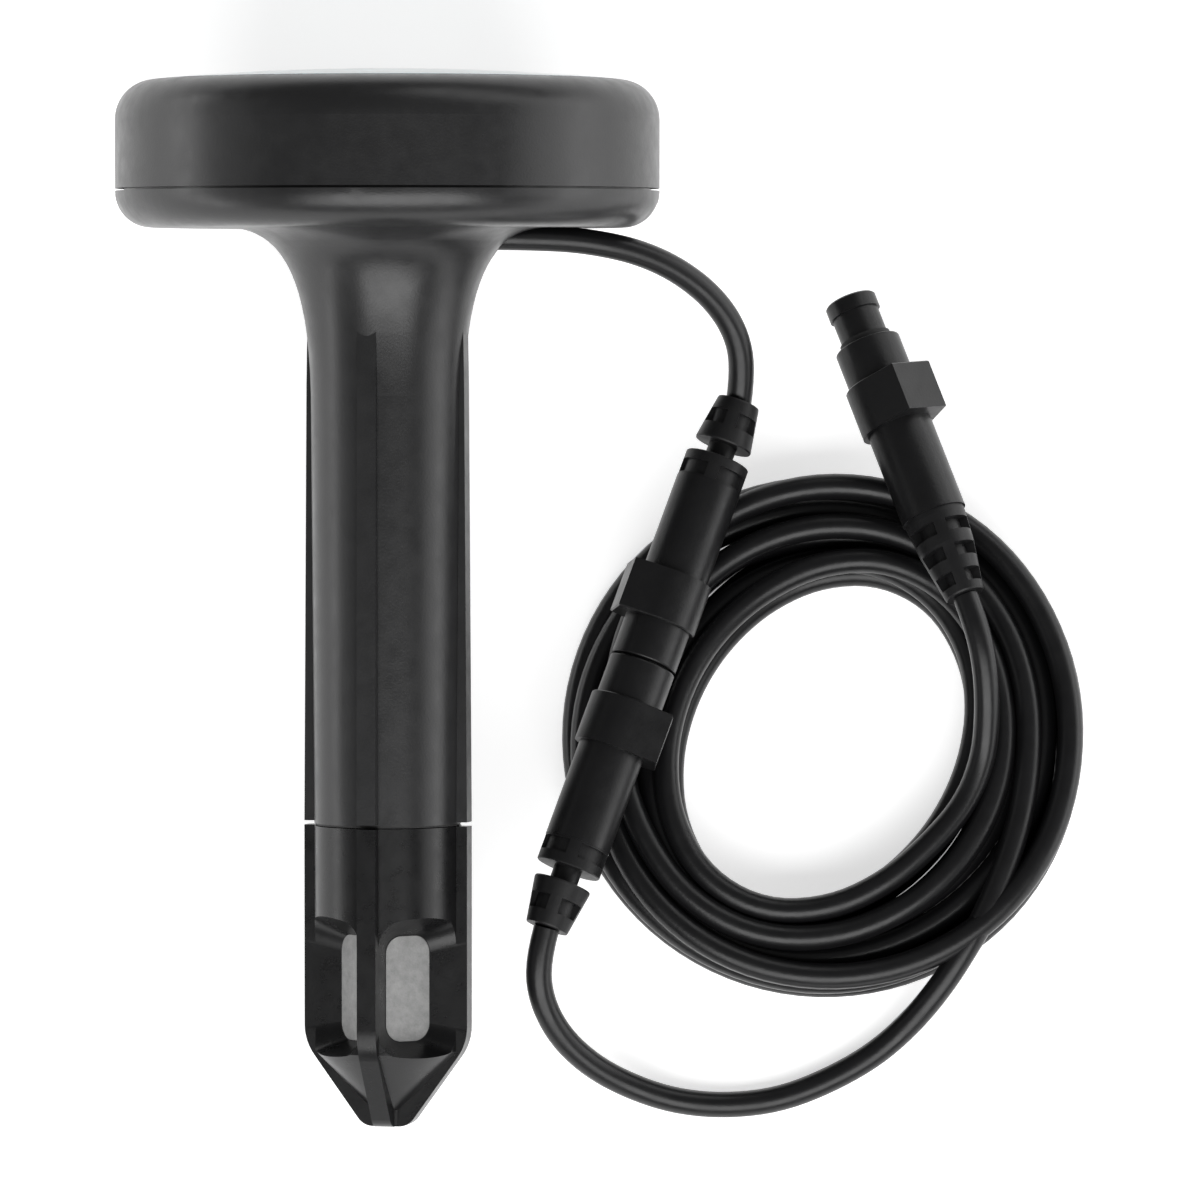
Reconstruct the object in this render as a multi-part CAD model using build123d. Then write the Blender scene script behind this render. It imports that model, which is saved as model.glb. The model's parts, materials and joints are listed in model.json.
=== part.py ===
from build123d import *
import os
from math import acos, atan2, cos, hypot, pi, radians, sin, tan

# Wired soil probe lying on a table: a disc head on a ribbed stake, a short lead, and a coiled extension cable.
# Stake parts are drawn standing on the tip, stake axis = +Z, cable port towards +X, and are laid down at the end.

# ---- driving dimensions, millimetres and degrees ----
HEAD_R = 52.0
HEAD_TOP = 200.2
COVER_BOTTOM = 179.45
SHELL_TOP = 179.0
UNDERSIDE = 172.0
TOP_EDGE_R = 7.6
LOW_EDGE_R = 6.9
WALL = 2.2
STEM_TOP_R = 14.7
STEM_LOW_R = 14.1
STEM_BORE_R = 11.7
TIP_JOINT = 58.2
RIB_WIDTH = 3.7
RIB_REACH = 16.1
RIB_TURN = -13.7
RIB_ANGLES = [RIB_TURN - 90 + 90 * i for i in range(4)]
FACE_ANGLES = [a + 45 for a in RIB_ANGLES]
TIP_SHOULDER = 16.1
TIP_FOOT_R = 4.4
SHOULDER_ROUND = 10.0
FOOT_ROUND = 3.6
TILT = 12.65

LENS_R = 43.6
LENS_RISE = 2.0
PANEL_R = 41.0
BOARD_R = 38.0
BOARD_Z = 184.0
BOSS_CIRCLE_R = 34.0
BOSS_ANGLES = [90, 210, 330]

PORT_Z = 170.2
PORT_X = 19.5
GLAND_R = 3.3
CHANNEL_START = 21.5
CHANNEL_W = 6.4
CHANNEL_TOP = 176.6

SPIGOT_R = 11.6
SPIGOT_LENGTH = 10.4
SPIGOT_BORE_R = 9.6
SOCKET_R = 11.9
LUG_REACH = 12.7
LUG_TURN = 30.0
PANE_W = 9.8
PANE_H = 20.4
PANE_MID = 26.8
PANE_DEPTH = 7.5
PLATE_THICK = 1.1
SENSOR_BORE_R = 5.0

BATTERY_R = 9.2
BATTERY_LENGTH = 65.0
BATTERY_BOTTOM = 84.0

CABLE_D = 5.0
RELIEF_LENGTH = 9.0
NECK_LENGTH = 3.0
RING_LENGTH = 5.2
BARREL_LENGTH = 19.2
BLOCK_LENGTH = 9.9
COLLAR_LENGTH = 8.0
NOSE_LENGTH = 9.6
LONG_RELIEF_LENGTH = 17.0
BARREL_R = 6.4
BLOCK_R = 7.4
KEY_REACH = 9.0
KEY_HALF_WIDTH = 5.0
COLLAR_R = 6.5
NOSE_R = 5.08
NOSE_NECK_R = 4.65
NOSE_LIP = 3.0
NOSE_BORE_R = 4.05
SOCKET_BORE_R = 5.16
PLUG_GAP = 0.4

COIL_CENTRE = (84.2, -25.2)
COIL_R = 51.0
COIL_HEIGHT = 14.5
HOLE_CENTRE = (84.0, -26.7)
HOLE_HALF_LONG = 33.5
HOLE_HALF_SHORT = 25.0
HOLE_TURN = 61.0

# ---- where the connectors lie, and the routes of the cords, in the laid-down frame ----
PAIR_START = Vector(67.4, 36.9, 23.0)
PAIR_DIRECTION = Vector(-0.3395, -0.9406, 0).normalized()
LEAD_PLUG_ROLL = 10.0
SOCKET_ROLL = -2.0
FAR_PLUG_START = Vector(110.9, -1.2, 24.0)
FAR_PLUG_DIRECTION = Vector(-0.342, 0.9397, -0.105).normalized()
FAR_PLUG_ROLL = 49.0

LEAD_ROUTE = [
    (19.5, 63.79, 49.0),
    (32.0, 63.8, 48.3),
    (40.5, 63.2, 46.5),
    (48.5, 62.0, 43.5),
    (56.0, 59.3, 39.5),
    (62.5, 55.0, 35.0),
    (66.8, 49.5, 30.5),
    (68.3, 43.0, 26.3),
]

EXTENSION_ROUTE = [
    (28.6, -72.0, 21.8),
    (29.3, -79.0, 18.5),
    (33.0, -85.5, 14.2),
    (39.0, -90.5, 9.8),
    (46.5, -94.0, 6.0),
    (55.0, -96.5, 3.5),
    (64.5, -97.3, 2.5),
    (75.0, -96.2, 2.5),
    (85.0, -92.3, 2.5),
    (94.0, -87.2, 3.2),
    (101.1, -81.0, 5.5),
    (106.6, -74.6, 9.0),
    (111.2, -67.6, 11.6),
    (114.8, -60.2, 12.0),
]

TAIL_ROUTE = [
    (113.3, -7.8, 24.2),
    (114.9, -15.5, 22.0),
    (115.3, -23.5, 18.0),
    (114.6, -31.5, 14.0),
]


# ---- small shape helpers ----
def lathe(outline):
    return revolve(Plane.XZ * make_face(outline), Axis.Z)


def lathe_points(*points):
    return lathe(Polyline(*points, close=True))


def disc(radius, low, high, x=0.0, y=0.0):
    return Pos(x, y, low) * Cylinder(radius, high - low, align=(Align.CENTER, Align.CENTER, Align.MIN))


def ring(outer, inner, low, high):
    return disc(outer, low, high) - disc(inner, low - 1, high + 1)


def block(x0, x1, y0, y1, z0, z1):
    size = (x1 - x0, y1 - y0, z1 - z0)
    return Pos(x0, y0, z0) * Box(*size, align=(Align.MIN, Align.MIN, Align.MIN))


def round_about_axis(part, angles):
    return [Rot(Z=angle) * part for angle in angles]


def joined(parts):
    whole = parts[0]
    for part in parts[1:]:
        whole = whole + part
    return whole


def blade(points, width):
    # A flat fin standing in the XZ plane, with its outline given as (radius, height).
    return fin(make_face(Polyline(*points, close=True)), width)


def fin(face, width):
    return extrude(Plane.XZ * face, amount=width / 2, both=True)


def rounded_corner(face, corner, radius):
    return fillet(face.vertices().sort_by_distance((corner[0], corner[1], 0))[0], radius)


# ---- stake: lower shell, neck and stem ----
def stem_outline():
    joint_face = Line((0, TIP_JOINT), (STEM_LOW_R, TIP_JOINT))
    taper = Line((STEM_LOW_R, TIP_JOINT), (STEM_TOP_R, 140))
    trumpet = Bezier((STEM_TOP_R, 140), (15.1, 163), (20.5, UNDERSIDE), (31, UNDERSIDE))
    underside = Line((31, UNDERSIDE), (HEAD_R - LOW_EDGE_R, UNDERSIDE))
    rim = CenterArc((HEAD_R - LOW_EDGE_R, UNDERSIDE + LOW_EDGE_R), LOW_EDGE_R, 270, 90)
    rim_end = (HEAD_R, UNDERSIDE + LOW_EDGE_R)
    close = Polyline(rim_end, (HEAD_R, SHELL_TOP), (0, SHELL_TOP), (0, TIP_JOINT))
    return joint_face + taper + trumpet + underside + rim + close


def stem_cavity():
    inner_r = LOW_EDGE_R - WALL
    centre = (HEAD_R - LOW_EDGE_R, UNDERSIDE + LOW_EDGE_R)
    floor = UNDERSIDE + WALL
    stem = Polyline((0, TIP_JOINT + 4), (SPIGOT_BORE_R, TIP_JOINT + 4), (STEM_BORE_R, TIP_JOINT + 6.5),
                    (STEM_BORE_R, 159), (22, floor), (centre[0], floor))
    corner = CenterArc(centre, inner_r, 270, 90)
    lid = Polyline((centre[0] + inner_r, centre[1]), (centre[0] + inner_r, SHELL_TOP + 1), (0, SHELL_TOP + 1),
                   (0, TIP_JOINT + 4))
    return lathe(stem + corner + lid)


def make_stem_housing():
    shell = lathe(stem_outline())
    rib = blade([(0, TIP_JOINT + 0.3), (RIB_REACH, TIP_JOINT + 0.3), (15.6, 142), (15.4, 154), (0, 154)], RIB_WIDTH)
    rib_half = rib & block(0, 60, -10, 10, 0, 200)
    shell = joined([shell] + round_about_axis(rib_half, RIB_ANGLES))
    shell = shell - stem_cavity()
    shell = shell - ring(50.6, 40, 176.9, SHELL_TOP + 1)
    channel_wall = block(13, 47, -5.6, 5.6, 161, CHANNEL_TOP + 2)
    keep = lathe_points((10, 165), (14, 163), (23, 173), (47, 173), (47, 180), (10, 180))
    shell = shell + (channel_wall & keep)
    bosses = round_about_axis(disc(3.0, UNDERSIDE + 1, BOARD_Z, BOSS_CIRCLE_R), BOSS_ANGLES)
    shell = joined([shell] + bosses)
    boss_holes = round_about_axis(disc(1.15, BOARD_Z - 8, BOARD_Z + 1, BOSS_CIRCLE_R), BOSS_ANGLES)
    channel = block(CHANNEL_START, 60, -CHANNEL_W / 2, CHANNEL_W / 2, 155, CHANNEL_TOP)
    port = Pos(12, 0, PORT_Z) * Rot(Y=90) * disc(GLAND_R + 0.1, 0, 14)
    spigot = disc(SPIGOT_R, TIP_JOINT - SPIGOT_LENGTH, TIP_JOINT + 1)
    lug = block(9, LUG_REACH, -1.5, 1.5, 50.3, 52.9)
    spigot = joined([spigot] + round_about_axis(lug, [0, 180]))
    spigot = spigot - disc(SPIGOT_BORE_R, 40, 70)
    shell = shell + spigot - disc(SPIGOT_BORE_R, TIP_JOINT - 2, TIP_JOINT + 5)
    return shell - channel - port - joined(boss_holes)


def make_lead_gland():
    # Cut off along the neck's slope, with the cable's end in a blind bore.
    sleeve = Pos(12.4, 0, PORT_Z) * Rot(Y=90) * disc(GLAND_R, 0, 12)
    slope = lathe_points((0, 163), (15.2, 163), (24.6, 174), (0, 174))
    bore = Pos(PORT_X, 0, PORT_Z) * Rot(Y=90) * disc(CABLE_D / 2, 0, 10)
    return (sleeve & slope) - bore


# ---- head: cover, lens and what they hold ----
def make_head_cover():
    arc_centre = (HEAD_R - TOP_EDGE_R, HEAD_TOP - TOP_EDGE_R)
    outside = Polyline((50.3, 177.6), (50.3, COVER_BOTTOM), (HEAD_R, COVER_BOTTOM), (HEAD_R, arc_centre[1]))
    edge = CenterArc(arc_centre, TOP_EDGE_R, 0, 90)
    inside = Polyline((arc_centre[0], HEAD_TOP), (43.9, HEAD_TOP), (43.9, 199.4), (41.3, 199.4), (41.3, 196.6),
                      (4, 196.6), (4, 194.6), (44.4, 194.6), (49.0, 190.0), (49.0, 177.6), (50.3, 177.6))
    return lathe(outside + edge + inside)


def make_top_lens():
    rim_z = HEAD_TOP + 0.1
    dome_r = (LENS_R**2 + LENS_RISE**2) / (2 * LENS_RISE)
    dome = Pos(0, 0, rim_z + LENS_RISE - dome_r) * Rot(X=90) * Sphere(dome_r)
    return disc(LENS_R, 199.75, rim_z + LENS_RISE + 1) & dome


def make_solar_cells():
    cells = []
    for row in range(4):
        for column in range(4):
            x = (column - 1.5) * 18.0
            y = (row - 1.5) * 18.0
            cells.append(Pos(x, y, 198.2) * Box(17.0, 17.0, 0.3, align=(Align.CENTER, Align.CENTER, Align.MIN)))
    inside = disc(PANEL_R - 1.5, 190, 205)
    return [cell & inside for cell in cells]


def make_main_board():
    board = disc(BOARD_R, BOARD_Z, BOARD_Z + 1.6)
    holes = round_about_axis(disc(1.3, BOARD_Z - 1, BOARD_Z + 3, BOSS_CIRCLE_R), BOSS_ANGLES)
    wire_slot = block(-5, 5, 8, 14, BOARD_Z - 1, BOARD_Z + 3)
    return board - joined(holes) - wire_slot


def make_board_screws():
    head = disc(2.4, BOARD_Z + 1.6, BOARD_Z + 3.2, BOSS_CIRCLE_R)
    shank = disc(1.05, BOARD_Z - 6, BOARD_Z + 1.6, BOSS_CIRCLE_R)
    slot = block(BOSS_CIRCLE_R - 1.6, BOSS_CIRCLE_R + 1.6, -0.3, 0.3, BOARD_Z + 2.6, BOARD_Z + 4)
    return round_about_axis(head + shank - slot, BOSS_ANGLES)


def make_rf_shield():
    outer = block(-26, -6, -12, 8, BOARD_Z + 1.6, BOARD_Z + 5.0)
    inner = block(-25.6, -6.4, -11.6, 7.6, BOARD_Z + 1.0, BOARD_Z + 4.6)
    return fillet(outer.edges().filter_by(Axis.Z), 1.2) - inner


def make_lead_terminal():
    body = block(18, 30, -6, 6, BOARD_Z + 1.6, BOARD_Z + 8)
    wire_holes = [Pos(30, y, BOARD_Z + 4.4) * Rot(Y=-90) * disc(1.1, -1, 6) for y in (-3.6, 0, 3.6)]
    return body - joined(wire_holes)


def make_status_led():
    body = block(-1.0, 1.0, -22.8, -21.2, BOARD_Z + 1.6, BOARD_Z + 2.4)
    dome = Pos(0, -22, BOARD_Z + 2.4) * Sphere(0.7) & block(-2, 2, -24, -20, BOARD_Z + 2.4, BOARD_Z + 4)
    return body + dome


# ---- inside the stem and the tip ----
def make_battery():
    can = disc(BATTERY_R, BATTERY_BOTTOM, BATTERY_BOTTOM + BATTERY_LENGTH - 1.2)
    can = fillet(can.edges(), 0.8)
    button = disc(3.0, BATTERY_BOTTOM + BATTERY_LENGTH - 1.2, BATTERY_BOTTOM + BATTERY_LENGTH)
    return can + button


def battery_cap(low, high):
    cap = disc(11.4, low, high)
    return cap - block(-3.2, 3.2, 9.7, 13, low - 1, high + 1)


def make_battery_carrier():
    lower = battery_cap(BATTERY_BOTTOM - 5, BATTERY_BOTTOM + 4) - disc(BATTERY_R + 0.1, BATTERY_BOTTOM - 2.5, 200)
    top = BATTERY_BOTTOM + BATTERY_LENGTH
    upper = battery_cap(top - 5, top + 4) - disc(BATTERY_R + 0.1, 0, top + 1.5)
    return [lower, upper]


def make_battery_contacts():
    top = BATTERY_BOTTOM + BATTERY_LENGTH
    plate = disc(5.0, top + 0.1, top + 0.7)
    rings = [Pos(0, 0, BATTERY_BOTTOM - 2.0 + 0.7 * i) * Torus(4.2 - 0.5 * i, 0.38) for i in range(3)]
    return [plate, joined(rings)]


def make_sensor_harness():
    return block(-2.5, 2.5, 10.2, 10.8, 66, BOARD_Z + 4)


def make_harness_socket():
    return block(-3, 3, 0.85, 10.15, 66, 73)


def make_sensor_board():
    board = block(-4.2, 4.2, -0.8, 0.8, 11, 76)
    return board - block(-5, -2.8, -2, 2, 40, 44) - block(2.8, 5, -2, 2, 40, 44)


def make_board_clip():
    board_slot = block(-4.3, 4.3, -0.9, 0.9, 40, 60)
    wire_holes = round_about_axis(disc(1.8, 40, 60, 6.2), [45, 135, 225, 315])
    return disc(9.5, 49, 55) - board_slot - joined(wire_holes)


def make_thermistor():
    return Pos(0, 0.85, 14) * Rot(X=-90) * disc(1.3, 0, 2.2)


def make_tip_seal():
    return ring(13.9, SPIGOT_R + 0.05, TIP_JOINT - 0.35, TIP_JOINT)


# ---- probe tip with its four windows ----
def window_cut():
    floor = Plane.YZ.offset(PANE_DEPTH) * Pos(0, PANE_MID) * RectangleRounded(PANE_W, PANE_H, 3.4)
    mouth = Plane.YZ.offset(16.5) * Pos(0, PANE_MID + 0.4) * RectangleRounded(PANE_W + 18.0, PANE_H + 9.2, 5.5)
    return loft([floor.face(), mouth.face()])


def plate_shape(thick, margin):
    face = Plane.YZ.offset(PANE_DEPTH - thick) * Pos(0, PANE_MID)
    return extrude(face * RectangleRounded(PANE_W - margin, PANE_H - margin, 3.3), amount=thick)


def tip_rib(top):
    foot = (TIP_FOOT_R, 0)
    shoulder = (RIB_REACH, TIP_SHOULDER)
    outline = make_face(Polyline((0, 0), foot, shoulder, (RIB_REACH, top), (0, top), close=True))
    outline = rounded_corner(outline, shoulder, SHOULDER_ROUND)
    return fin(rounded_corner(outline, foot, FOOT_ROUND), RIB_WIDTH)


def make_probe_tip():
    top = TIP_JOINT - 0.5
    body = lathe_points((0, 0.2), (2.9, 0.2), (3.0, 3.2), (12.8, 13.3), (14.0, 14.6), (STEM_LOW_R, top), (0, top))
    rib_half = tip_rib(top) & block(0, 60, -10, 10, -5, 200)
    tip = joined([body] + round_about_axis(rib_half, RIB_ANGLES))
    tip = tip - joined(round_about_axis(window_cut(), FACE_ANGLES[:2]))
    tip = tip - joined(round_about_axis(window_cut(), FACE_ANGLES[2:]))
    for pocket in round_about_axis(plate_shape(PLATE_THICK + 0.05, 0.2), FACE_ANGLES):
        tip = tip - pocket
    tip = tip - disc(SOCKET_R, 46.8, top + 1) - disc(SENSOR_BORE_R, 9, 50)
    tip = tip - (disc(13.0, 49.9, 53.3) - disc(10, 40, 60))
    entry = block(10, 13.0, -1.9, 1.9, 50, top + 1)
    return tip - joined(round_about_axis(entry, [-LUG_TURN, 180 - LUG_TURN]))


def make_electrode(angle):
    plate = plate_shape(PLATE_THICK, 0.3)
    stud = Pos(5.05, 0, PANE_MID) * Rot(Y=90) * disc(0.9, 0, 1.5)
    return Rot(Z=angle) * (plate + stud)


def cut_stud_holes(tip):
    hole = Pos(4.0, 0, PANE_MID) * Rot(Y=90) * disc(1.0, 0, 3.0)
    return tip - joined(round_about_axis(hole, FACE_ANGLES))


# ---- connectors, drawn along +Z from the cable end to the nose ----
def ladder_windows(stations, radius, depth, height):
    # Rows of four windows round a relief, with four bridges left standing between them.
    bridges = block(-1.2, 1.2, -12, 12, -5, 60) + block(-12, 12, -1.2, 1.2, -5, 60)
    return joined([ring(radius + 2, radius - depth, low, low + height) - bridges for low in stations])


def make_short_relief(roll):
    neck_r = CABLE_D / 2 + 0.25
    flare_end = RELIEF_LENGTH
    ring_start = RELIEF_LENGTH + NECK_LENGTH
    ring_end = ring_start + RING_LENGTH
    body = lathe_points((0, 0), (4.1, 0), (4.2, 0.3), (5.6, flare_end - 0.3), (5.5, flare_end), (neck_r, flare_end),
                        (neck_r, ring_start), (6.1, ring_start), (6.3, ring_start + 0.2), (6.3, ring_end),
                        (0, ring_end))
    flare_windows = ladder_windows([2.7], 4.7, 0.8, 3.0)
    ring_windows = ladder_windows([ring_start + 2.0], 6.3, 0.7, 2.8)
    return Rot(Z=roll) * (body - flare_windows - ring_windows)


def make_long_relief(roll):
    length = LONG_RELIEF_LENGTH
    body = lathe_points((0, 0), (3.7, 0), (3.9, 0.3), (5.5, length - 7), (6.0, length - 1), (6.0, length),
                        (0, length))
    for low in (1.7, 6.8, 11.9):
        body = body - ladder_windows([low], 4.3 + 0.13 * low, 1.7, 2.6)
    return Rot(Z=roll) * body


def keyed_block(low, high):
    # Round, with a flat-ended key along +X whose sides run off the round as tangents.
    touch = atan2(KEY_HALF_WIDTH, KEY_REACH) + acos(BLOCK_R / hypot(KEY_REACH, KEY_HALF_WIDTH))
    side_x, side_y = BLOCK_R * cos(touch), BLOCK_R * sin(touch)
    outline = Polyline((side_x, side_y), (KEY_REACH, KEY_HALF_WIDTH), (KEY_REACH, -KEY_HALF_WIDTH),
                       (side_x, -side_y), close=True)
    whole = disc(BLOCK_R, low, high) + extrude(Pos(0, 0, low) * make_face(outline), amount=high - low)
    return chamfer(whole.edges().group_by(Axis.Z)[-1], 0.25)


def outer_body(start):
    # Barrel, keyed block and collar: the outside that every connector shares, from height start.
    block_start = start + BARREL_LENGTH
    collar_start = block_start + BLOCK_LENGTH
    barrel = disc(BARREL_R, start, block_start)
    collar = disc(COLLAR_R, collar_start, collar_start + COLLAR_LENGTH)
    collar = fillet(collar.edges().group_by(Axis.Z)[-1], 0.4)
    return barrel + keyed_block(block_start, collar_start) + collar


def make_plug_body(start):
    collar_end = start + BARREL_LENGTH + BLOCK_LENGTH + COLLAR_LENGTH
    lip = disc(NOSE_R, collar_end + NOSE_LENGTH - NOSE_LIP, collar_end + NOSE_LENGTH)
    lip = chamfer(lip.edges().group_by(Axis.Z)[-1], 0.3)
    neck = disc(NOSE_NECK_R, collar_end - 1, collar_end + NOSE_LENGTH - NOSE_LIP)
    hollow = disc(NOSE_BORE_R, start + 8, collar_end + NOSE_LENGTH + 1)
    key_groove = block(-NOSE_BORE_R - 0.6, 0.5 - NOSE_BORE_R, -0.8, 0.8, collar_end + 7.5, collar_end + NOSE_LENGTH + 1)
    return outer_body(start) + neck + lip - hollow - key_groove


def make_plug_seal(start):
    collar_end = start + BARREL_LENGTH + BLOCK_LENGTH + COLLAR_LENGTH
    return ring(NOSE_R + 0.01, NOSE_NECK_R, collar_end, collar_end + 1.3)


def pin_places():
    return [(1.9 * cos(radians(a)), 1.9 * sin(radians(a))) for a in (90, 210, 330)]


def make_plug_insert(start):
    collar_end = start + BARREL_LENGTH + BLOCK_LENGTH + COLLAR_LENGTH
    core = disc(NOSE_BORE_R - 0.05, start + 8.2, collar_end + 0.6)
    holes = [disc(0.62, start, collar_end + 2, x, y) for x, y in pin_places()]
    return core - joined(holes)


def make_plug_pins(start):
    collar_end = start + BARREL_LENGTH + BLOCK_LENGTH + COLLAR_LENGTH
    pins = []
    for x, y in pin_places():
        pin = disc(0.6, start + 20, collar_end + NOSE_LENGTH - 1.6, x, y)
        pins.append(fillet(pin.edges().group_by(Axis.Z)[-1], 0.35))
    return pins


def make_socket_body(start):
    collar_end = start + BARREL_LENGTH + BLOCK_LENGTH + COLLAR_LENGTH
    socket = disc(SOCKET_BORE_R, collar_end - NOSE_LENGTH - 0.8, collar_end + 1)
    core_bore = disc(NOSE_BORE_R - 0.15, start + 8, collar_end)
    return outer_body(start) - socket - core_bore


def make_socket_insert(start):
    collar_end = start + BARREL_LENGTH + BLOCK_LENGTH + COLLAR_LENGTH
    core = disc(NOSE_BORE_R - 0.2, start + 8.2, collar_end - 1.2)
    holes = [disc(1.05, start, collar_end + 2, x, y) for x, y in pin_places()]
    return core - joined(holes)


def make_socket_contacts(start):
    collar_end = start + BARREL_LENGTH + BLOCK_LENGTH + COLLAR_LENGTH
    tubes = []
    for x, y in pin_places():
        tubes.append(disc(1.0, start + 16, collar_end - 1.6, x, y) - disc(0.7, start + 24, collar_end, x, y))
    return tubes


# ---- cords ----
def arc_radii(points):
    vectors = [Vector(*p) for p in points]
    radii = []
    for before, here, after in zip(vectors, vectors[1:], vectors[2:]):
        turn = radians((here - before).get_angle(after - here))
        shorter = min((here - before).length, (after - here).length)
        radii.append(0.45 * shorter / tan(turn / 2))
    return radii


def cord_tube(name, points):
    radii = arc_radii(points)
    path = FilletPolyline(*points, radius=radii)
    start = Plane(origin=points[0], z_dir=Vector(*points[1]) - Vector(*points[0]))
    tube = sweep(start * Circle(CABLE_D / 2), path=path)
    share = tube.volume / (pi * CABLE_D**2 / 4 * path.length)
    print(name, "radii", [round(r) for r in radii], "length", round(path.length, 1), "volume share", round(share, 4))
    return tube


def make_coil():
    outer = Pos(*COIL_CENTRE) * Circle(COIL_R)
    hole = Pos(*HOLE_CENTRE) * Rot(Z=HOLE_TURN) * Ellipse(HOLE_HALF_LONG, HOLE_HALF_SHORT)
    coil = extrude(outer - hole, amount=COIL_HEIGHT)
    return fillet(coil.edges().group_by(Axis.Z)[-1], 2.5)


# ---- assembly ----
def plug_frame(start, direction, side, roll):
    # The block's corner points to the given side, turned up towards the sky by the roll angle.
    up = side.cross(direction)
    up = up if up.Z > 0 else -up
    corner = side * cos(radians(roll)) + up * sin(radians(roll))
    return Plane(origin=start, x_dir=corner, z_dir=direction).location


def stake_parts():
    tip = cut_stud_holes(make_probe_tip())
    parts = {
        "stem_housing": make_stem_housing(),
        "lead_gland": make_lead_gland(),
        "head_cover": make_head_cover(),
        "top_lens": make_top_lens(),
        "lens_gasket": ring(43.6, 41.4, 199.4, 199.75),
        "solar_panel": disc(PANEL_R, 196.6, 198.2),
        "solar_cells": make_solar_cells(),
        "cover_seal": ring(50.5, 49.4, 176.9, 177.5),
        "main_board": make_main_board(),
        "board_screws": make_board_screws(),
        "rf_shield": make_rf_shield(),
        "lead_terminal": make_lead_terminal(),
        "status_led": make_status_led(),
        "battery": make_battery(),
        "battery_carrier": make_battery_carrier(),
        "battery_contacts": make_battery_contacts(),
        "sensor_harness": make_sensor_harness(),
        "harness_socket": make_harness_socket(),
        "sensor_board": make_sensor_board(),
        "board_clip": make_board_clip(),
        "thermistor": make_thermistor(),
        "tip_seal": make_tip_seal(),
        "probe_tip": tip,
    }
    for number, angle in enumerate(FACE_ANGLES, 1):
        parts[f"electrode_{number}"] = make_electrode(angle)
    return parts


def connector_parts():
    short_start = RELIEF_LENGTH + NECK_LENGTH + RING_LENGTH
    half_pair = short_start + BARREL_LENGTH + BLOCK_LENGTH + COLLAR_LENGTH
    side = PAIR_DIRECTION.cross(Vector(0, 0, 1)).normalized()
    lead_frame = plug_frame(PAIR_START, PAIR_DIRECTION, side, LEAD_PLUG_ROLL)
    socket_start = PAIR_START + PAIR_DIRECTION * (2 * half_pair + PLUG_GAP)
    socket_frame = plug_frame(socket_start, -PAIR_DIRECTION, -side, SOCKET_ROLL)
    far_side = FAR_PLUG_DIRECTION.cross(Vector(0, 0, 1)).normalized()
    far_frame = plug_frame(FAR_PLUG_START, FAR_PLUG_DIRECTION, far_side, FAR_PLUG_ROLL)
    print("socket relief end", socket_start, "far plug nose", FAR_PLUG_START + FAR_PLUG_DIRECTION * (
        LONG_RELIEF_LENGTH + BARREL_LENGTH + BLOCK_LENGTH + COLLAR_LENGTH + NOSE_LENGTH))
    groups = [
        (lead_frame, "lead_plug", make_short_relief(LEAD_PLUG_ROLL), short_start),
        (far_frame, "far_plug", make_long_relief(FAR_PLUG_ROLL), LONG_RELIEF_LENGTH),
    ]
    parts = {}
    for frame, name, relief, start in groups:
        parts[f"{name}_relief"] = frame * relief
        parts[f"{name}_body"] = frame * make_plug_body(start)
        parts[f"{name}_seal"] = frame * make_plug_seal(start)
        parts[f"{name}_insert"] = frame * make_plug_insert(start)
        parts[f"{name}_pins"] = [frame * pin for pin in make_plug_pins(start)]
    parts["socket_relief"] = socket_frame * make_short_relief(SOCKET_ROLL)
    parts["socket_body"] = socket_frame * make_socket_body(short_start)
    pin_frame = socket_frame * Rot(Z=LEAD_PLUG_ROLL + SOCKET_ROLL)
    parts["socket_insert"] = pin_frame * make_socket_insert(short_start)
    parts["socket_contacts"] = [pin_frame * tube for tube in make_socket_contacts(short_start)]
    return parts, socket_start


def laid_down(parts):
    # Tilts the standing stake onto its rim and its tip, then puts the middle of its footprint at the origin.
    tilt = Rot(X=-(90 - TILT))
    tilted = {name: place(tilt, shape) for name, shape in parts.items()}
    boxes = [Compound(as_list(shape)).bounding_box() for shape in tilted.values()]
    low_y = min(box.min.Y for box in boxes)
    high_y = max(box.max.Y for box in boxes)
    low_z = min(box.min.Z for box in boxes)
    shift = Pos(0, -(low_y + high_y) / 2, -low_z)
    print("stake shift", -(low_y + high_y) / 2, -low_z)
    return {name: place(shift, shape) for name, shape in tilted.items()}


def as_list(shape):
    if isinstance(shape, list):
        return [solid for item in shape for solid in item.solids()]
    return list(shape.solids())


def place(location, shape):
    if isinstance(shape, list):
        return [location * item for item in shape]
    return location * shape


def main():
    os.makedirs("parts", exist_ok=True)
    parts = laid_down(stake_parts())
    connectors, socket_start = connector_parts()
    parts.update(connectors)
    lead_end = tuple(PAIR_START)
    parts["lead_cable"] = cord_tube("lead", LEAD_ROUTE + [lead_end])
    parts["extension_cable"] = cord_tube("extension", [tuple(socket_start)] + EXTENSION_ROUTE)
    parts["coil_tail"] = cord_tube("tail", [tuple(FAR_PLUG_START)] + TAIL_ROUTE)
    parts["cable_coil"] = make_coil()
    for name, shape in parts.items():
        solids = as_list(shape)
        whole = solids[0] if len(solids) == 1 else Compound(children=solids)
        export_step(whole, f"parts/{name}.step")


main()
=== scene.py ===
import json
import math
import random

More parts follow.
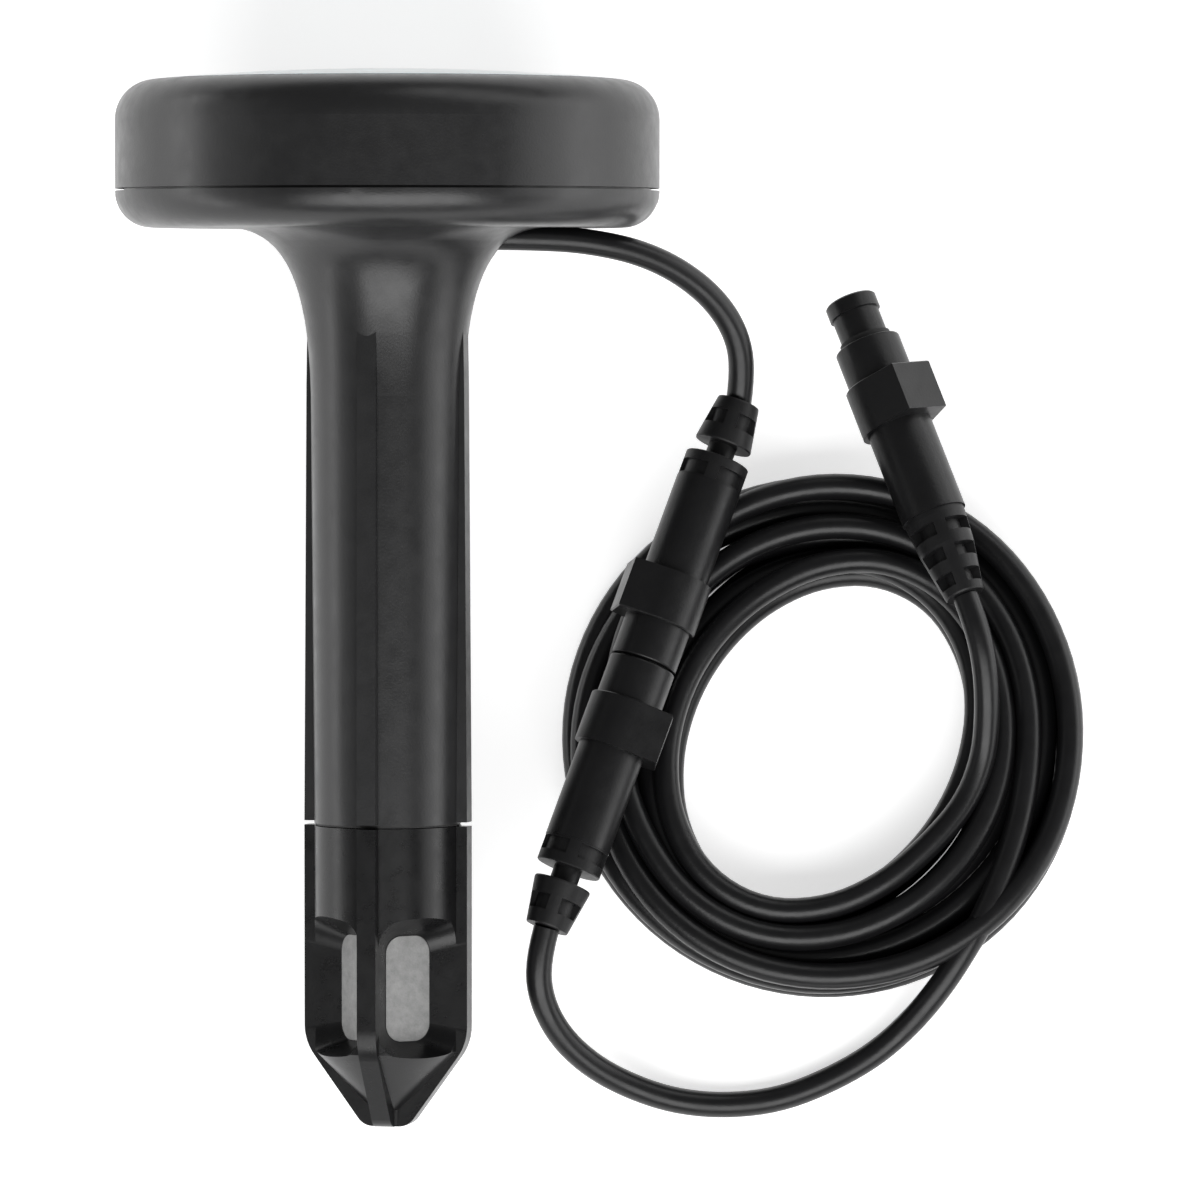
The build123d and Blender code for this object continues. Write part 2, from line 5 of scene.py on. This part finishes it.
import bpy
import numpy as np
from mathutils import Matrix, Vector


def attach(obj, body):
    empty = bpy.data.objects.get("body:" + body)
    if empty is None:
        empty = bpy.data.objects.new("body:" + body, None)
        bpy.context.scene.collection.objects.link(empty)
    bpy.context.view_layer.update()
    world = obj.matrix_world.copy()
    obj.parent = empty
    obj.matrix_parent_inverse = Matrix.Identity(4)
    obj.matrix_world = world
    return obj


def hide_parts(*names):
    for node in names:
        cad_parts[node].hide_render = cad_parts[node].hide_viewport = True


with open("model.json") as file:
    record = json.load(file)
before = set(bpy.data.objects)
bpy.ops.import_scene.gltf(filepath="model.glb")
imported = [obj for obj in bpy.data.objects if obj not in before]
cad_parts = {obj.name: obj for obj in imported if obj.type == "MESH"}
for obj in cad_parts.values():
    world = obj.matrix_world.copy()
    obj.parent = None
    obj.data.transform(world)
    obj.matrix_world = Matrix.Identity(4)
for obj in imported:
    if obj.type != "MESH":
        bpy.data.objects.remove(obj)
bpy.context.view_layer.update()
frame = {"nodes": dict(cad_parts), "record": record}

# A wired soil probe lying on a pale table, with its mated plugs and its coiled extension lead.
# Lengths are metres, in the CAD model's frame: +Z up, the stake along +Y.

MM = 0.001
CABLE_D = 5.0 * MM

# The cords' routes repeat the CAD source's lists, in millimetres here and scaled once where they are used.
LEAD_END = (67.4, 36.9, 23.0)
SOCKET_START = (30.394, -65.626, 23.0)
FAR_PLUG_START = (110.9, -1.2, 24.0)
LEAD_ROUTE = [
    (19.5, 63.79, 49.0), (32.0, 63.8, 48.3), (40.5, 63.2, 46.5), (48.5, 62.0, 43.5), (56.0, 59.3, 39.5),
    (62.5, 55.0, 35.0), (66.8, 49.5, 30.5), (68.3, 43.0, 26.3), LEAD_END,
]
EXTENSION_ROUTE = [
    SOCKET_START, (28.6, -72.0, 21.8), (29.3, -79.0, 18.5), (33.0, -85.5, 14.2), (39.0, -90.5, 9.8),
    (46.5, -94.0, 6.0), (55.0, -96.5, 3.5), (64.5, -97.3, 2.5), (75.0, -96.2, 2.5), (85.0, -92.3, 2.5),
    (94.0, -87.2, 3.2), (101.1, -81.0, 5.5), (106.6, -74.6, 9.0), (111.2, -67.6, 11.6),
]
TAIL_ROUTE = [
    (114.6, -31.5, 14.0), (115.3, -23.5, 18.0), (114.9, -15.5, 22.0), (113.3, -7.8, 24.2), FAR_PLUG_START,
]

# The coil: turns wound anticlockwise between an outer circle and a tilted elliptical hole. Each row of LAID says
# where the hand had put the cable after so many turns: how far across the bundle, from 0 outside to 1 at the
# hole, and how high in millimetres.
COIL_CENTRE = (84.2, -25.2)
COIL_R = 51.0
HOLE_CENTRE = (84.0, -26.7)
HOLE_HALF_LONG = 33.5
HOLE_HALF_SHORT = 25.0
HOLE_TURN = math.radians(61.0)
COIL_TOP = 14.8
COIL_START = math.radians(-49.0)
POINTS_PER_TURN = 18
LAID = [
    (0, 0.10, 12.2), (0.056, 0.34, 12.2), (0.12, 0.47, 12.2), (0.3, 0.52, 12.0), (1, 0.42, 9.0), (2, 0.15, 6.0),
    (3, 0.00, 2.5), (4, 0.28, 2.5), (5, 0.62, 2.5), (6, 0.95, 3.0), (7, 1.00, 6.5), (8, 0.70, 7.0),
    (9, 0.10, 8.0), (9.5, 0.40, 11.0), (9.85, 0.75, 12.0), (10.2, 0.92, 12.2), (10.6, 0.98, 12.2),
    (11, 0.95, 12.2), (11 + 1 / 18, 0.89, 12.2),
]
SETTLING_STEPS = 260
PUSH = 0.25
STIFFNESS = 0.22
SAG = 0.02


# ---- camera and light ----
CAMERA_ELEVATION = math.radians(79.3)
CAMERA_DISTANCE = 1.6647
CAMERA_TARGET = (40.6, -3.9, 33.8)
CAMERA_SENSOR_MM = 36.0
CAMERA_LENS_MM = 261.0
WORLD_GLOW = 0.15


def make_camera():
    target = Vector(CAMERA_TARGET) * MM
    back = Vector((0, -math.cos(CAMERA_ELEVATION), math.sin(CAMERA_ELEVATION)))
    data = bpy.data.cameras.new("camera")
    data.sensor_width = CAMERA_SENSOR_MM
    data.lens = CAMERA_LENS_MM
    data.clip_start = 0.05
    data.clip_end = 20.0
    camera = bpy.data.objects.new("camera", data)
    camera.rotation_mode = "QUATERNION"
    camera.location = target + back * CAMERA_DISTANCE
    camera.rotation_quaternion = (-back).to_track_quat("-Z", "Y")
    bpy.context.scene.collection.objects.link(camera)
    bpy.context.scene.camera = camera


def area_light(name, place, aim, width, height, radiance):
    data = bpy.data.lights.new(name, "AREA")
    data.shape = "RECTANGLE"
    data.size = width
    data.size_y = height
    data.energy = radiance * math.pi * width * height
    light = bpy.data.objects.new(name, data)
    light.rotation_mode = "QUATERNION"
    light.location = Vector(place)
    light.rotation_quaternion = (Vector(aim) - Vector(place)).to_track_quat("-Z", "Y")
    bpy.context.scene.collection.objects.link(light)


def make_lights():
    # The ceiling stays dark, so that upward faces of the black plastic stay black. The key is on the tip's side.
    area_light("key_panel", (0.1, -1.05, 1.05), (0.04, 0, 0.03), 1.8, 1.0, 4.6)
    area_light("left_panel", (-1.25, 0.1, 0.45), (0, 0, 0.03), 1.5, 0.7, 0.4)
    area_light("right_panel", (1.25, 0.2, 0.42), (0.04, 0, 0.03), 1.5, 0.7, 1.7)
    area_light("head_panel", (0.7, 1.2, 0.9), (0.04, 0, 0.05), 1.2, 0.7, 1.6)
    area_light("left_rim", (-0.55, 0.04, 0.07), (0, 0.04, 0.05), 1.0, 0.12, 3.0)
    area_light("right_rim", (0.6, 0.06, 0.08), (0, 0.06, 0.05), 1.0, 0.12, 2.0)
    world = bpy.data.worlds.new("studio")
    world.use_nodes = True
    background = world.node_tree.nodes["Background"]
    background.inputs["Color"].default_value = (1.0, 1.0, 1.0, 1.0)
    background.inputs["Strength"].default_value = WORLD_GLOW
    bpy.context.scene.world = world


# ---- cords ----
def nurbs_cord(name, points):
    data = bpy.data.curves.new(name, "CURVE")
    data.dimensions = "3D"
    spline = data.splines.new("NURBS")
    spline.points.add(len(points) - 1)
    for control, point in zip(spline.points, points):
        control.co = (point[0] * MM, point[1] * MM, point[2] * MM, 1.0)
        control.radius = CABLE_D / 2
    spline.order_u = 3
    spline.use_endpoint_u = True
    spline.resolution_u = 5
    data.bevel_depth = 1.0
    data.bevel_resolution = 5
    data.use_fill_caps = True
    cord = bpy.data.objects.new(name, data)
    bpy.context.scene.collection.objects.link(cord)
    return cord


def hole_reach(angle):
    # Distance from the coil's centre to the hole's edge along each direction.
    dx = COIL_CENTRE[0] - HOLE_CENTRE[0]
    dy = COIL_CENTRE[1] - HOLE_CENTRE[1]
    c, s = math.cos(HOLE_TURN), math.sin(HOLE_TURN)
    px, py = (dx * c + dy * s) / HOLE_HALF_LONG, (-dx * s + dy * c) / HOLE_HALF_SHORT
    ux, uy = np.cos(angle), np.sin(angle)
    qx, qy = (ux * c + uy * s) / HOLE_HALF_LONG, (-ux * s + uy * c) / HOLE_HALF_SHORT
    a = qx * qx + qy * qy
    b = px * qx + py * qy
    return (-b + np.sqrt(b * b - a * (px * px + py * py - 1))) / a


def settle(radius, height, inner, outer):
    # Turns on the same ray push one another towards a diameter apart, and the cable's stiffness evens that out.
    # The strands that lead in and out aren't moved, and the one that leads in still cuts into a turn.
    d = CABLE_D / MM
    laid_radius = radius.copy()
    for _ in range(SETTLING_STEPS):
        for lag in range(POINTS_PER_TURN, len(radius), POINTS_PER_TURN):
            across = radius[lag:] - radius[:-lag]
            up = height[lag:] - height[:-lag] + 0.001
            apart = np.hypot(across, up)
            push = PUSH * np.maximum(0, d - apart) / apart
            radius[lag:] += push * across
            radius[:-lag] -= push * across
            height[lag:] += push * up
            height[:-lag] -= push * up
        shift = radius - laid_radius
        for values in (shift, height):
            values[1:-1] += STIFFNESS * (values[:-2] + values[2:] - 2 * values[1:-1])
        shift[[0, 1, -2, -1]] = 0
        radius[:] = np.clip(laid_radius + shift, inner, outer)
        height[:] = np.clip(height - SAG, d / 2, COIL_TOP - d / 2)
        height[[0, 1]] = LAID[0][2]
        height[[-2, -1]] = LAID[-1][2]


def coil_points():
    rng = random.Random(11)
    turns, shares, heights = np.array(LAID).T
    turn = np.arange(0, turns[-1] + 0.5 / POINTS_PER_TURN, 1 / POINTS_PER_TURN)
    angle = COIL_START + turn * 2 * math.pi
    inner = hole_reach(angle) + CABLE_D / MM / 2
    outer = np.full_like(angle, COIL_R - CABLE_D / MM / 2)
    radius = outer + (inner - outer) * np.interp(turn, turns, shares)
    for _ in range(5):
        reach, pace, phase = rng.uniform(0.3, 1.1), rng.uniform(0.6, 2.3), rng.uniform(0, 6.28)
        radius += reach * np.sin(pace * angle + phase) * np.minimum(1, np.minimum(turn, turns[-1] - turn) / 0.5)
    height = np.interp(turn, turns, heights)
    radius = np.clip(radius, inner, outer)
    settle(radius, height, inner, outer)
    radius = radius / math.cos(math.pi / POINTS_PER_TURN)
    return [(COIL_CENTRE[0] + r * math.cos(a), COIL_CENTRE[1] + r * math.sin(a), h)
            for r, a, h in zip(radius, angle, height)]


def make_cords():
    lead = nurbs_cord("lead_cord", LEAD_ROUTE)
    extension = nurbs_cord("extension_cord", EXTENSION_ROUTE + coil_points() + TAIL_ROUTE)
    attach(lead, "probe")
    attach(extension, "extension_lead")
    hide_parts("lead_cable")
    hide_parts("extension_cable", "cable_coil", "coil_tail")
    return lead, extension


# ---- materials ----
def new_material(name):
    material = bpy.data.materials.new(name)
    material.use_nodes = True
    tree = material.node_tree
    return material, tree, tree.nodes["Principled BSDF"]


def add_node(tree, kind, **values):
    node = tree.nodes.new(kind)
    for key, value in values.items():
        if key in node.inputs:
            node.inputs[key].default_value = value
        else:
            setattr(node, key, value)
    return node


def noise(tree, place, scale, detail=4.0, rough=0.55):
    node = add_node(tree, "ShaderNodeTexNoise", Scale=scale, Detail=detail, Roughness=rough)
    tree.links.new(place, node.inputs["Vector"])
    return node.outputs["Fac"]


def ramp(tree, value, low, high, low_colour, high_colour):
    node = tree.nodes.new("ShaderNodeValToRGB")
    node.color_ramp.elements[0].position = low
    node.color_ramp.elements[1].position = high
    node.color_ramp.elements[0].color = (*low_colour, 1.0)
    node.color_ramp.elements[1].color = (*high_colour, 1.0)
    tree.links.new(value, node.inputs["Fac"])
    return node.outputs["Color"]


def spread(tree, value, low, high):
    node = add_node(tree, "ShaderNodeMapRange")
    node.inputs["From Min"].default_value = 0.3
    node.inputs["From Max"].default_value = 0.7
    node.inputs["To Min"].default_value = low
    node.inputs["To Max"].default_value = high
    tree.links.new(value, node.inputs["Value"])
    return node.outputs["Result"]


def bump(tree, value, strength, distance, under=None):
    node = add_node(tree, "ShaderNodeBump", Strength=strength, Distance=distance)
    tree.links.new(value, node.inputs["Height"])
    if under is not None:
        tree.links.new(under, node.inputs["Normal"])
    return node.outputs["Normal"]


def tone(colour, factor):
    return tuple(min(1.0, c * factor) for c in colour)


def moulded(name, colour, rough, grain=2600.0, grain_depth=0.00004, specular=0.5, vary=0.12, scuff=0.05):
    # Moulded plastic or rubber: spark-eroded grain, slow colour drift, and faint scuffs that raise the roughness.
    material, tree, shader = new_material(name)
    place = tree.nodes.new("ShaderNodeTexCoord").outputs["Object"]
    drift = noise(tree, place, 38.0, 3.0)
    fine = noise(tree, place, grain, 2.0)
    scuffs = noise(tree, place, 260.0, 4.0, 0.6)
    tree.links.new(ramp(tree, drift, 0.3, 0.7, tone(colour, 1 - vary), tone(colour, 1 + vary)),
                   shader.inputs["Base Color"])
    tree.links.new(spread(tree, scuffs, rough - scuff, rough + scuff), shader.inputs["Roughness"])
    under = bump(tree, scuffs, 0.03, 0.00004)
    tree.links.new(bump(tree, fine, 0.5, grain_depth, under), shader.inputs["Normal"])
    shader.inputs["Specular IOR Level"].default_value = specular
    return material


def metal(name, colour, rough):
    material, tree, shader = new_material(name)
    place = tree.nodes.new("ShaderNodeTexCoord").outputs["Object"]
    drift = noise(tree, place, 160.0, 4.0)
    fine = noise(tree, place, 900.0, 4.0)
    tree.links.new(ramp(tree, drift, 0.3, 0.7, tone(colour, 0.9), tone(colour, 1.1)),
                   shader.inputs["Base Color"])
    tree.links.new(spread(tree, fine, rough - 0.06, rough + 0.06), shader.inputs["Roughness"])
    tree.links.new(bump(tree, fine, 0.4, 0.00003), shader.inputs["Normal"])
    shader.inputs["Metallic"].default_value = 1.0
    return material


def sintered(name):
    # Pressed and sintered electrode metal: grey, mottled, with open pores.
    material, tree, shader = new_material(name)
    place = tree.nodes.new("ShaderNodeTexCoord").outputs["Object"]
    blotch = noise(tree, place, 420.0, 6.0, 0.75)
    pores = add_node(tree, "ShaderNodeTexVoronoi", Scale=2300.0)
    tree.links.new(place, pores.inputs["Vector"])
    tree.links.new(ramp(tree, blotch, 0.32, 0.68, (0.19, 0.19, 0.19), (0.31, 0.31, 0.305)),
                   shader.inputs["Base Color"])
    tree.links.new(spread(tree, blotch, 0.5, 0.75), shader.inputs["Roughness"])
    under = bump(tree, pores.outputs["Distance"], 0.5, 0.00008)
    tree.links.new(bump(tree, blotch, 0.5, 0.0001, under), shader.inputs["Normal"])
    shader.inputs["Metallic"].default_value = 0.25
    return material


def clear_lens(name):
    material, tree, shader = new_material(name)
    place = tree.nodes.new("ShaderNodeTexCoord").outputs["Object"]
    smears = noise(tree, place, 90.0, 5.0)
    tree.links.new(spread(tree, smears, 0.05, 0.11), shader.inputs["Roughness"])
    shader.inputs["Base Color"].default_value = (0.52, 0.79, 0.83, 1.0)
    shader.inputs["Transmission Weight"].default_value = 0.85
    shader.inputs["IOR"].default_value = 1.49
    return material


def solar_cell(name):
    # Dark blue silicon under fine silver fingers.
    material, tree, shader = new_material(name)
    place = tree.nodes.new("ShaderNodeTexCoord").outputs["Object"]
    grain = noise(tree, place, 220.0, 4.0)
    base = ramp(tree, grain, 0.35, 0.65, (0.012, 0.02, 0.055), (0.02, 0.045, 0.11))
    fingers = add_node(tree, "ShaderNodeTexWave", Scale=320.0)
    tree.links.new(place, fingers.inputs["Vector"])
    mask = ramp(tree, fingers.outputs["Fac"], 0.90, 0.97, (0, 0, 0), (1, 1, 1))
    mix = tree.nodes.new("ShaderNodeMix")
    mix.data_type = "RGBA"
    tree.links.new(mask, mix.inputs["Factor"])
    tree.links.new(base, mix.inputs["A"])
    mix.inputs["B"].default_value = (0.45, 0.47, 0.5, 1.0)
    tree.links.new(mix.outputs["Result"], shader.inputs["Base Color"])
    tree.links.new(spread(tree, grain, 0.22, 0.32), shader.inputs["Roughness"])
    return material


def circuit_board(name):
    material, tree, shader = new_material(name)
    place = tree.nodes.new("ShaderNodeTexCoord").outputs["Object"]
    tracks = add_node(tree, "ShaderNodeTexVoronoi", Scale=260.0)
    tracks.distance = "CHEBYCHEV"
    tree.links.new(place, tracks.inputs["Vector"])
    tree.links.new(ramp(tree, tracks.outputs["Distance"], 0.2, 0.5, (0.01, 0.09, 0.035), (0.02, 0.17, 0.07)),
                   shader.inputs["Base Color"])
    fine = noise(tree, place, 700.0, 3.0)
    tree.links.new(spread(tree, fine, 0.28, 0.4), shader.inputs["Roughness"])
    tree.links.new(bump(tree, tracks.outputs["Distance"], 0.3, 0.00003), shader.inputs["Normal"])
    return material


def floor_material():
    material, _, shader = new_material("pale_table")
    shader.inputs["Base Color"].default_value = (0.95, 0.95, 0.95, 1.0)
    shader.inputs["Roughness"].default_value = 0.7
    shader.inputs["Specular IOR Level"].default_value = 0.1
    # The table glows a little, which keeps the shadows pale.
    shader.inputs["Emission Color"].default_value = (1.0, 1.0, 1.0, 1.0)
    shader.inputs["Emission Strength"].default_value = 0.55
    return material


def make_materials():
    return {
        "housing_grey": moulded("housing_grey", (0.0155, 0.0155, 0.016), 0.33, 2200.0, 0.00004, 0.4),
        "tip_black": moulded("tip_black", (0.004, 0.004, 0.0043), 0.30, 2200.0, 0.00003, 0.35),
        "cable_jacket": moulded("cable_jacket", (0.0055, 0.0055, 0.006), 0.34, 1500.0, 0.00004, 0.35),
        "relief_rubber": moulded("relief_rubber", (0.005, 0.005, 0.0054), 0.45, 1700.0, 0.00005, 0.3),
        "connector_black": moulded("connector_black", (0.005, 0.005, 0.0054), 0.36, 1900.0, 0.00005, 0.35),
        "gasket_rubber": moulded("gasket_rubber", (0.018, 0.018, 0.018), 0.6, 1600.0, 0.00004, 0.3),
        "insert_plastic": moulded("insert_plastic", (0.02, 0.02, 0.02), 0.45),
        "inner_plastic": moulded("inner_plastic", (0.62, 0.6, 0.55), 0.45),
        "solar_backing": moulded("solar_backing", (0.03, 0.04, 0.05), 0.4),
        "battery_wrap": moulded("battery_wrap", (0.05, 0.16, 0.42), 0.25, vary=0.06),
        "flat_flex": moulded("flat_flex", (0.55, 0.27, 0.06), 0.3),
        "thermistor_bead": moulded("thermistor_bead", (0.03, 0.03, 0.03), 0.35),
        "led_lens": moulded("led_lens", (0.25, 0.7, 0.35), 0.2),
        "steel_screw": metal("steel_screw", (0.6, 0.6, 0.6), 0.3),
        "shield_tin": metal("shield_tin", (0.68, 0.67, 0.64), 0.35),
        "contact_brass": metal("contact_brass", (0.83, 0.62, 0.25), 0.25),
        "electrode_metal": sintered("electrode_metal"),
        "lens_clear": clear_lens("lens_clear"),
        "solar_cell": solar_cell("solar_cell"),
        "circuit_board": circuit_board("circuit_board"),
    }


def paint(piece, material):
    piece.data.materials.clear()
    piece.data.materials.append(material)


def paint_cad_nodes(materials):
    slots = {part["node"]: part["material_slot"] for part in frame["record"]["subparts"]}
    for name, node in frame["nodes"].items():
        paint(node, materials[slots[name]])


# ---- table ----
def make_table():
    bpy.ops.mesh.primitive_plane_add(size=6.0, location=(0, 0, 0))
    table = bpy.context.object
    table.name = "pale_table"
    table.data.materials.append(floor_material())


make_camera()
lead_cord, extension_cord = make_cords()
materials = make_materials()
paint_cad_nodes(materials)
paint(lead_cord, materials["cable_jacket"])
paint(extension_cord, materials["cable_jacket"])
make_lights()
make_table()
bpy.context.scene.view_settings.view_transform = "Standard"
